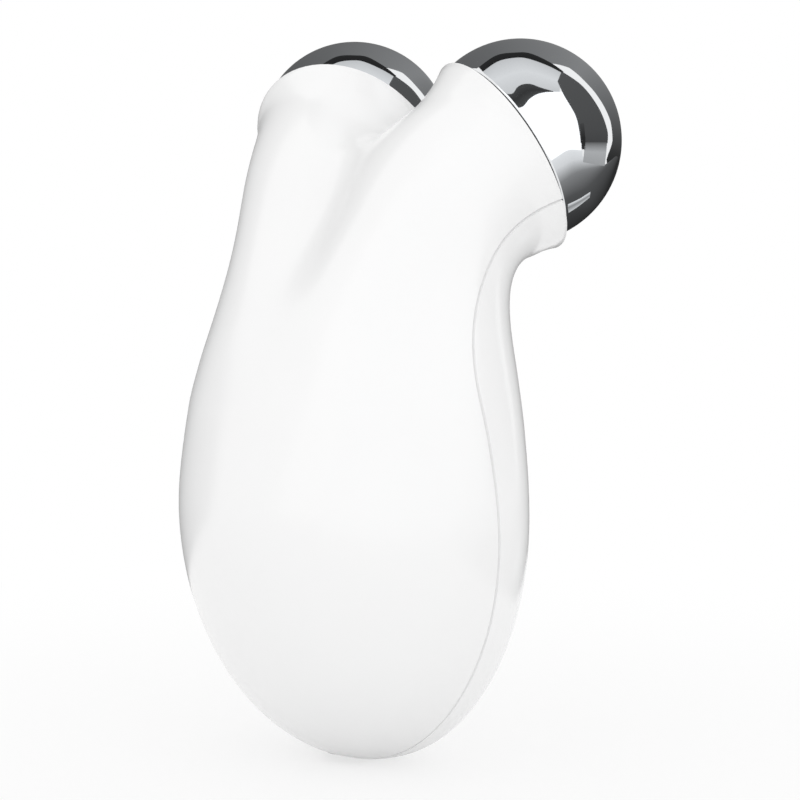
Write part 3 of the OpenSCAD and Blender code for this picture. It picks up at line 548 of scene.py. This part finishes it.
def skin_points(side, field, grooved):
    """Rings of points of one half skin, fanned out from the spine and then from each neck's axis.

    Above the crotch a ring has more columns, which follow the inner side of its neck. Behind the
    parting line the saddle between the necks rises into a hump, and the rings are lifted over it."""
    up, up_y = np.array([0.0, 0.0, 1.0]), np.array([0.0, side, 0.0])
    base = widest_z - float(cross(field, np.array([0.0, 0.0, widest_z]), -up, 0, reach))
    waist = np.array([[0.0, y, waist_z] for y in (0.0, hump_len / 2)])
    crotch, hump = waist_z + cross(field, waist, np.broadcast_to(up, waist.shape), 0, reach)
    hump_h = max(hump - crotch, 0) if side > 0 else 0
    low, high = np.linspace(0, 1, low_rings) ** ring_crowding, np.linspace(0, 1, high_rings)
    heights = np.concatenate([
        base + (crotch - split_step - base) * (1 - np.cos(np.pi * low)) / 2,
        crotch + split_step + (rim_top - crotch - split_step) * high,
    ])

    def lifted(p, z):
        fade = ease((z - crotch + hump_fade) / hump_fade) * (1 - ease((z - crotch) / (rim_top - crotch)))
        u = np.clip(p[..., 1] / hump_len, 0, 1)
        return p + (fade * hump_h * 4 * u * (1 - u))[..., None] * up

    rows = []
    widest_turn = math.pi
    for i, z in enumerate(heights):
        tilt = splay * float(ease((z / rim_top - tilt_from) / tilt_over))
        shift = max((rim_centre[0] * math.cos(splay) + (z - rim_centre[2]) * math.sin(splay))
                    / math.cos(splay - tilt), 0) * float(ease((z / rim_top - shift_from) / shift_over))
        along = np.array([math.cos(tilt), 0, -math.sin(tilt)])
        spine = np.array([0.0, 0.0, z])
        centre = spine + shift * along
        split = i >= low_rings
        radius = float(cross(outer_field, centre, along, 0, reach))
        lip = math.atan(seam_w / 2 / max(radius, 1e-3))
        if not split:
            mid_y = float(cross(lambda p: field(lifted(p, z)), spine, up_y, 0, reach)) if i else 0.0
            widest_turn = math.atan2(mid_y, -shift)
        turns = np.concatenate([[0, knee_w * lip], np.linspace(lip, widest_turn, arc_steps - 1),
                                np.linspace(widest_turn, math.pi - lip, ridge_steps)[1:],
                                [math.pi - knee_w * lip, math.pi]])
        if not split:
            turns[arc_steps:] = widest_turn
        directions = np.cos(turns)[:, None] * along + np.sin(turns)[:, None] * up_y
        far = np.where(np.cos(turns) < -0.001,
                       np.minimum(reach, (shift + 0.001) / np.maximum(-np.cos(turns), 1e-6)), reach)
        depth = np.zeros(len(turns))
        if grooved:
            depth[:2] = seam_d, knee_d * seam_d
            if split:
                depth[-2:] = knee_d * seam_d, seam_d
        reached = cross(lambda p: field(lifted(p, z)) + depth,
                        np.broadcast_to(centre, directions.shape), directions, 0, far)
        points = centre + reached[:, None] * directions
        if not split:
            points[arc_steps:] = [0, side * mid_y, z]
        if i == 0:
            points[:] = spine
        rows.append(lifted(points, z))
    return np.array(rows)


def casing(name, side, cutters):
    """One casing: both skins, the seam faces, rounded rims and the cuts for what passes through."""
    outer = skin_points(side, outer_field, True)
    inner = skin_points(side, inner_field, False)
    rim_rows = []
    for k in range(1, rim_steps):
        share = k / rim_steps
        lift = rim_round * math.sin(math.pi * share)
        rim_rows.append(outer[-1] * (1 - share) + inner[-1] * share + lift * neck_axis)
    sheet = np.concatenate([outer, rim_rows, inner[::-1]])
    rows, columns = sheet.shape[:2]
    vertices = np.concatenate([
        bend(sheet.reshape(-1, 3)), bend((sheet * np.array([-1, 1, 1])).reshape(-1, 3)),
    ]) * MM
    vertices[:, 2] = np.maximum(vertices[:, 2], cad_box[0][2])
    count = rows * columns
    total = low_rings + high_rings
    outer_of, inner_of = range(total), [rows - 1 - i for i in range(total)]
    faces = []
    edge = columns - 1
    for half in (0, count):
        for i in range(rows - 1):
            both_split = low_rings <= i < rows - 1 - low_rings
            for j in range(edge if both_split else arc_steps):
                a = half + i * columns + j
                faces.append((a, a + 1, a + columns + 1, a + columns))
        for i in range(total - 1):
            for j, first in ((0, 0), (edge, low_rings)):
                if i >= first:
                    faces.append((half + outer_of[i] * columns + j, half + outer_of[i + 1] * columns + j,
                                  half + inner_of[i + 1] * columns + j, half + inner_of[i] * columns + j))
        for j in (0, edge):
            faces.append(tuple(half + i * columns + j for i in range(total - 1, total + rim_steps)))
    for rings_of in (outer_of, inner_of):
        below, above = rings_of[low_rings - 1] * columns, rings_of[low_rings] * columns
        faces.append((below + arc_steps, above + arc_steps, count + above + arc_steps))
        for j in range(arc_steps, edge):
            faces.append((above + j, above + j + 1, count + above + j + 1, count + above + j))
    top_out, top_in = outer_of[low_rings] * columns + edge, inner_of[low_rings] * columns + edge
    faces.append((top_out, count + top_out, count + top_in, top_in))
    made = new_object(name, vertices, faces)
    build = bmesh.new()
    build.from_mesh(made.data)
    loose = [v for v in build.verts if not v.link_faces]
    bmesh.ops.delete(build, geom=loose, context="VERTS")
    bmesh.ops.remove_doubles(build, verts=build.verts, dist=2e-7)
    bmesh.ops.dissolve_degenerate(build, edges=build.edges, dist=1e-8)
    bmesh.ops.recalc_face_normals(build, faces=build.faces)
    build.to_mesh(made.data)
    build.free()
    for cutter in cutters:
        cut = made.modifiers.new("cut", "BOOLEAN")
        cut.operation, cut.solver, cut.object = "DIFFERENCE", "EXACT", cutter
    scene_now = bpy.context.evaluated_depsgraph_get()
    cut_mesh = bpy.data.meshes.new_from_object(made.evaluated_get(scene_now))
    made.modifiers.clear()
    made.data = cut_mesh
    smooth_skin(made)
    return made


def smooth_skin(made):
    """Shades the outer skin by the form's own normals, so that its gloss shows no facets."""
    mesh = made.data
    mesh.polygons.foreach_set("use_smooth", [True] * len(mesh.polygons))
    mesh.set_sharp_from_angle(angle=sharp_turn)
    places = np.empty(len(mesh.vertices) * 3)
    mesh.vertices.foreach_get("co", places)
    places = places.reshape(-1, 3) / MM
    on_skin = np.abs(outer_field(unbend(places))) < skin_tolerance
    normals = skin_normals(places)
    corners = np.array([tuple(c.vector) for c in mesh.corner_normals])
    for polygon in mesh.polygons:
        members = list(polygon.vertices)
        facing = Vector(polygon.normal)
        if all(on_skin[v] and facing.dot(Vector(normals[v])) > least_facing for v in members):
            for corner, v in zip(polygon.loop_indices, members):
                corners[corner] = normals[v]
    mesh.normals_split_custom_set([tuple(c) for c in corners])


# What cuts the pocket, the lamp holes and the socket hole, each with its clearance
cut_from, pocket_end, socket_cut = 6.0, bezel_len + 2, (-4, 3.5)
pocket_r, pocket_bore_r = bezel_r + fit_gap, bezel_tube_r + fit_gap
lamp_hole_r, socket_hole_r = lamp_d / 2 + lamp_clear, bush_d / 2 + bush_clear
pocket_sides, lamp_sides = 96, 48
pocket = turned("pocket_cutter", [
    (0, -cut_from), (pocket_r, -cut_from), (pocket_r, pocket_depth), (pocket_bore_r, pocket_depth),
    (pocket_bore_r, pocket_end), (0, pocket_end),
], pocket_sides, on_panel(0, 0))
lamp_holes = [
    turned(f"lamp_cutter_{i}", [
        (0, -cut_from), (lamp_hole_r, -cut_from), (lamp_hole_r, cut_from), (0, cut_from),
    ], lamp_sides, on_panel((i - 1) * lamp_pitch, lamp_rise))
    for i in range(3)
]
socket_hole = turned("socket_cutter", [
    (0, socket_cut[0]), (socket_hole_r, socket_cut[0]), (socket_hole_r, socket_cut[1]), (0, socket_cut[1]),
], pocket_sides, Matrix.Identity(4))
rear_casing = casing("rear_casing_shell", 1, [socket_hole])
front_casing = casing("front_casing_shell", -1, [pocket, *lamp_holes, socket_hole])
for cutter in (pocket, socket_hole, *lamp_holes):
    bpy.data.objects.remove(cutter)


def material(name, **shader_inputs):
    """A material with one principled shader; inputs are named with underscores for spaces."""
    made = empty_material(name)
    tree = made.node_tree
    shader = add(tree, "ShaderNodeBsdfPrincipled", {
        key.replace("_", " "): value for key, value in shader_inputs.items()
    })
    add(tree, "ShaderNodeOutputMaterial", {"Surface": shader.outputs[0]})
    return made, tree, shader


# ABS moulded against a polished tool: a bright gloss with a very slight waviness where the wall sank
# as it cooled, and no grain
gloss_abs, tree, shader = material("gloss white moulded ABS", IOR=1.53, Roughness=0.2)
sink_mm = 14.0
where = add(tree, "ShaderNodeTexCoord")
tint = add(tree, "ShaderNodeTexNoise", {"Vector": where.outputs["Object"], "Scale": 1 / (sink_mm * MM),
                                        "Detail": 2.0})
shade = add(tree, "ShaderNodeMix", {"Factor": tint.outputs["Fac"], "A": linear("#f5f5f5"),
                                    "B": linear("#f7f7f7")}, data_type="RGBA")
waves = add(tree, "ShaderNodeTexNoise", {"Vector": where.outputs["Object"], "Scale": 1 / (sink_mm * MM),
                                         "Detail": 1.0})
ripple = add(tree, "ShaderNodeBump", {"Height": waves.outputs["Fac"], "Strength": 0.03,
                                      "Distance": 0.4 * MM})
tree.links.new(shade.outputs["Result"], shader.inputs["Base Color"])
tree.links.new(ripple.outputs["Normal"], shader.inputs["Normal"])

for made, node_name in ((rear_casing, "rear_casing"), (front_casing, "front_casing")):
    made.data.materials.clear()
    made.data.materials.append(gloss_abs)
    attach(made, "housing")
    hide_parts(node_name)

# --- Ball electrodes ---
# Two hollow balls of 31 mm with a flat that stands just off the rim, and a solid spigot behind it for
# the screw. They are plated with bright chrome over nickel: a mirror with almost no grain.

slot, edge_round, edge_step, edge_start = 0.42, 0.12, 0.02, 0.3
spigot_end, spigot_r, screw_hole_r, screw_hole_end = 10.5, 9.03, 2.05, 4.0
ball_rings, edge_rings, ball_sides = 120, 5, 192


def at_ball(side):
    """Matrix of a ball's frame, in metres: origin at its centre, +Z out along the neck."""
    centre = bend(ball_centre) * np.array([side, 1, 1])
    turn = Matrix.Rotation(head_lean, 4, "X") @ Matrix.Rotation(side * splay, 4, "Y")
    return Matrix.Translation(Vector(centre * MM)) @ turn


def ball_profile():
    """Outline of a ball from its pole round its edge, flat and spigot to the foot of the hole."""
    flat_at = rim_setback - slot
    r = ball_d / 2
    last = math.acos(-(flat_at - edge_round) / r)
    points = [(r * math.sin(a), r * math.cos(a)) for a in np.linspace(0, last, ball_rings)]
    edge_r = points[-1][0]
    points += [(edge_r - edge_round * (1 - math.cos(a)) - edge_step,
                -flat_at + edge_round * (1 - math.sin(a)))
               for a in np.linspace(edge_start, math.pi / 2, edge_rings)]
    return points + [(spigot_r, -flat_at), (spigot_r, -spigot_end), (screw_hole_r, -spigot_end),
                     (screw_hole_r, -screw_hole_end), (0, -screw_hole_end)]


# Chrome plated over polished nickel: a mirror, with fine wiping marks about 0.4 mm apart that only
# stir its reflections
chrome, tree, shader = material("bright chrome plating", Metallic=1.0)
wipe_mm = 0.4
where = add(tree, "ShaderNodeTexCoord")
marks = add(tree, "ShaderNodeTexNoise", {"Vector": where.outputs["Object"], "Scale": 1 / (wipe_mm * MM),
                                         "Detail": 3.0})
haze = add(tree, "ShaderNodeMapRange", {"Value": marks.outputs["Fac"], "To Min": 0.02, "To Max": 0.05})
tone = add(tree, "ShaderNodeMix", {"Factor": marks.outputs["Fac"], "A": linear("#eaecee"),
                                   "B": linear("#f0f1f2")}, data_type="RGBA")
tree.links.new(haze.outputs["Result"], shader.inputs["Roughness"])
tree.links.new(tone.outputs["Result"], shader.inputs["Base Color"])

for side, node_name in ((-1, "left_electrode"), (1, "right_electrode")):
    ball = turned(node_name + "_ball", ball_profile(), ball_sides, at_ball(side))
    ball.data.materials.append(chrome)
    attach(ball, "housing")
    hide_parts(node_name)

# --- Bezel ---
# A ring moulded in ABS and chromed, with a crowned face. Its tube is glued into the pocket of the
# front casing, round the button.

bezel_proud, bezel_crown, bore_edge, crown_start = 0.5, 0.6, 0.1, 0.97
crown_rings, bezel_sides = 16, 160
crown_mid = (bezel_inner_r + bezel_r) / 2
bezel = turned("button_bezel_ring", [
    (bezel_inner_r, bezel_len), (bezel_inner_r, bore_edge - bezel_proud),
    *[(crown_mid + bezel_w / 2 * math.cos(a), bezel_crown - bezel_proud - bezel_crown * math.sin(a))
      for a in np.linspace(math.pi * crown_start, 0, crown_rings)],
    (bezel_r, pocket_depth), (bezel_tube_r, pocket_depth), (bezel_tube_r, bezel_len),
], bezel_sides, on_panel(0, 0))

# Chrome plated on moulded ABS: a little softer than on the balls, with the same wiping marks
bright_trim, tree, shader = material("chromed ABS trim", Metallic=1.0, Roughness=0.08)
where = add(tree, "ShaderNodeTexCoord")
marks = add(tree, "ShaderNodeTexNoise", {"Vector": where.outputs["Object"], "Scale": 1 / (wipe_mm * MM)})
tone = add(tree, "ShaderNodeMix", {"Factor": marks.outputs["Fac"], "A": linear("#dcdee1"),
                                   "B": linear("#e6e7e9")}, data_type="RGBA")
tree.links.new(tone.outputs["Result"], shader.inputs["Base Color"])
bezel.data.materials.append(bright_trim)
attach(bezel, "housing")
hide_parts("button_bezel")

# --- Push button ---
# A domed cap moulded in the body's white ABS. A flange behind the bezel keeps it in, and its stem
# presses the switch's plunger.

button_proud, cap_sag, cap_round, round_start, flange_depth, flange_t = 1.2, 0.7, 0.5, 0.2, 3.4, 1.0
button_flange_r, button_skirt, stem_r, plunger_front = bezel_inner_r + 1, 1.2, 2.0, 4.8
cap_rings, round_rings, button_sides = 24, 8, 128
cap = [(r, cap_sag * (r / button_r) ** 2 - button_proud)
       for r in np.linspace(0, button_r - cap_round, cap_rings)]
edge_z = cap[-1][1]
cap += [(button_r - cap_round + cap_round * math.sin(a), edge_z + cap_round - cap_round * math.cos(a))
        for a in np.linspace(round_start, math.pi / 2, round_rings)]
button = turned("power_button_cap", [
    *cap, (button_r, flange_depth), (button_flange_r, flange_depth),
    (button_flange_r, flange_depth + flange_t), (button_r - button_skirt, flange_depth + flange_t),
    (button_r - button_skirt, button_skirt), (stem_r, button_skirt), (stem_r, plunger_front),
    (0, plunger_front),
], button_sides, on_panel(0, 0))
button.data.materials.append(gloss_abs)
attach(button, "button")
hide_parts("power_button")

# --- Gaskets ---
# Two flat rings punched from nitrile rubber sheet, which the ball screws pull tight between the balls
# and the rims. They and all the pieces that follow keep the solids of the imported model.


def two_tone(name, first, second, grain_mm, relief_mm=0.0, **shader_inputs):
    """A material whose colour goes between two tones by a grain of a real size, with a relief."""
    made, tree, shader = material(name, **shader_inputs)
    where = add(tree, "ShaderNodeTexCoord")
    grain = add(tree, "ShaderNodeTexNoise", {"Vector": where.outputs["Object"],
                                             "Scale": 1 / (grain_mm * MM), "Detail": 4.0})
    tone = add(tree, "ShaderNodeMix", {"Factor": grain.outputs["Fac"], "A": linear(first),
                                       "B": linear(second)}, data_type="RGBA")
    tree.links.new(tone.outputs["Result"], shader.inputs["Base Color"])
    if relief_mm:
        relief = add(tree, "ShaderNodeBump", {"Height": grain.outputs["Fac"], "Strength": 0.4,
                                              "Distance": relief_mm * MM})
        tree.links.new(relief.outputs["Normal"], shader.inputs["Normal"])
    return made


def dress(finish, *nodes):
    """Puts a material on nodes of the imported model."""
    for node_name in nodes:
        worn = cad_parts[node_name].data.materials
        worn.clear()
        worn.append(finish)


# Calendered rubber: a dull black with a faint grain
dress(two_tone("nitrile rubber", "#141414", "#1f1f1f", 0.3, 0.02, Roughness=0.6), "electrode_seals")

# --- Carriers, chassis and battery connector ---
# Moulded in uncoloured ABS. A disc fills each neck behind its ball, clamped by the ball's screw. The
# chassis is screwed to the front casing, and carries the board and the cell. The connector is on the
# board.

# A textured tool gives an even, satin off-white
dress(two_tone("natural ABS, textured tool", "#d9d8d4", "#e2e1dd", 0.25, 0.01, Roughness=0.5),
      "electrode_carriers", "chassis", "battery_connector")

# --- Terminals and socket tags ---
# Stamped from brass strip and tinned: the two ring terminals that the ball screws clamp to the discs,
# and the three tags that stand on the charging socket.

# Rolled strip under thin tin: a warm metal with a soft shine
dress(two_tone("tinned brass", "#c7a561", "#d8bd7d", 0.5, Metallic=1.0, Roughness=0.28),
      "electrode_terminals", "socket_tags")

# --- Screws and snap dome ---
# The screws of the balls, the board and the chassis are cold-headed in steel and plated with zinc. The
# snap dome at the foot of the switch's bore is pressed from plated spring steel.

# Bright zinc: a cool grey, slightly clouded
dress(two_tone("zinc-plated steel", "#a9abad", "#bbbdbf", 0.2, Metallic=1.0, Roughness=0.3),
      "electrode_screws", "board_screws", "chassis_screws", "switch_dome")

# --- Leads ---
# Stranded copper in red PVC, soldered at the ends or crimped into the battery's connector. They join
# the circuit board to the ball terminals, the cell's protection board and the socket tags.

# Extruded insulation: an even red with a low gloss
dress(two_tone("red PVC insulation", "#8f1713", "#a11d17", 1.0, Roughness=0.42),
      "left_electrode_lead", "right_electrode_lead", "battery_leads", "socket_leads")

# --- Switch, chip, buzzer and socket bodies ---
# Bought parts with black moulded bodies. The tact switch with its plunger, the chip and the buzzer are
# soldered to the board, and a flange holds the charging socket in the base.

# Moulded nylon: black, satin, with a fine grain
dress(two_tone("black nylon", "#111112", "#1b1b1c", 0.2, 0.01, Roughness=0.38),
      "switch_plunger", "tact_switch", "controller_chip", "buzzer", "charging_socket")

# --- Light guide ---
# Three clear rods moulded on one bar, which lies close behind the front casing's wall. Each rod fills
# its lamp hole and ends at a lamp.

# Polished polycarbonate, left a little milky so that the lamps don't dazzle
dress(two_tone("clear polycarbonate", "#dfe7ea", "#eef3f4", 2.0, Roughness=0.12, IOR=1.58,
               Transmission_Weight=0.55), "light_guide")

# --- Indicator lamps ---
# Three lamps, each potted in clear resin over its phosphor, and soldered to the board behind its rod
# of the light guide.

# Cast resin over phosphor: a pale yellow with a soft gloss
dress(two_tone("lamp encapsulant", "#efe0a0", "#f3e8b8", 0.4, Roughness=0.3), "indicator_leds")

# --- Circuit board and cell protection board ---
# Glass epoxy laminate, etched and coated with a green mask. The main board is screwed to the posts of
# the chassis, and the small round one is welded to the end of the cell.

# Solder mask over a weave: green, with a shallow relief
dress(two_tone("green solder mask on glass epoxy", "#0e4a28", "#125a31", 0.6, 0.01, Roughness=0.35),
      "circuit_board", "protection_board")

# --- Boost inductor ---
# A coil on a drum pressed from ferrite and sintered, soldered to the board. It raises the cell's
# voltage for the balls.

# Sintered and tumbled: a matt dark grey
dress(two_tone("sintered ferrite", "#26272a", "#34353a", 0.15, 0.01, Roughness=0.55), "boost_inductor")

# --- Capacitors ---
# Two electrolytic capacitors in cans drawn from aluminium, each with a groove rolled round it, and
# soldered to the board.

# Etched aluminium: a bright grey, lightly frosted
dress(two_tone("etched aluminium can", "#b9bbbe", "#c8cacc", 0.3, Metallic=1.0, Roughness=0.35),
      "capacitors")

# --- Battery cell ---
# A round lithium cell in a sleeve of PVC film. It lies on the saddles of the chassis, behind the
# board.

# Shrunk PVC film: blue, smooth and glossy
dress(two_tone("PVC shrink sleeve", "#274f7d", "#2d5a8c", 3.0, Roughness=0.3), "battery_cell")

# --- Battery pad ---
# A strip cut from a sheet of open-cell foam. Two ribs of the rear casing press it against the cell,
# so that the cell doesn't rattle.

# Cut foam: matt black with open pores of about half a millimetre
dress(two_tone("open-cell foam", "#1d1d1f", "#2b2b2e", 0.5, 0.15, Roughness=0.95), "battery_pad")
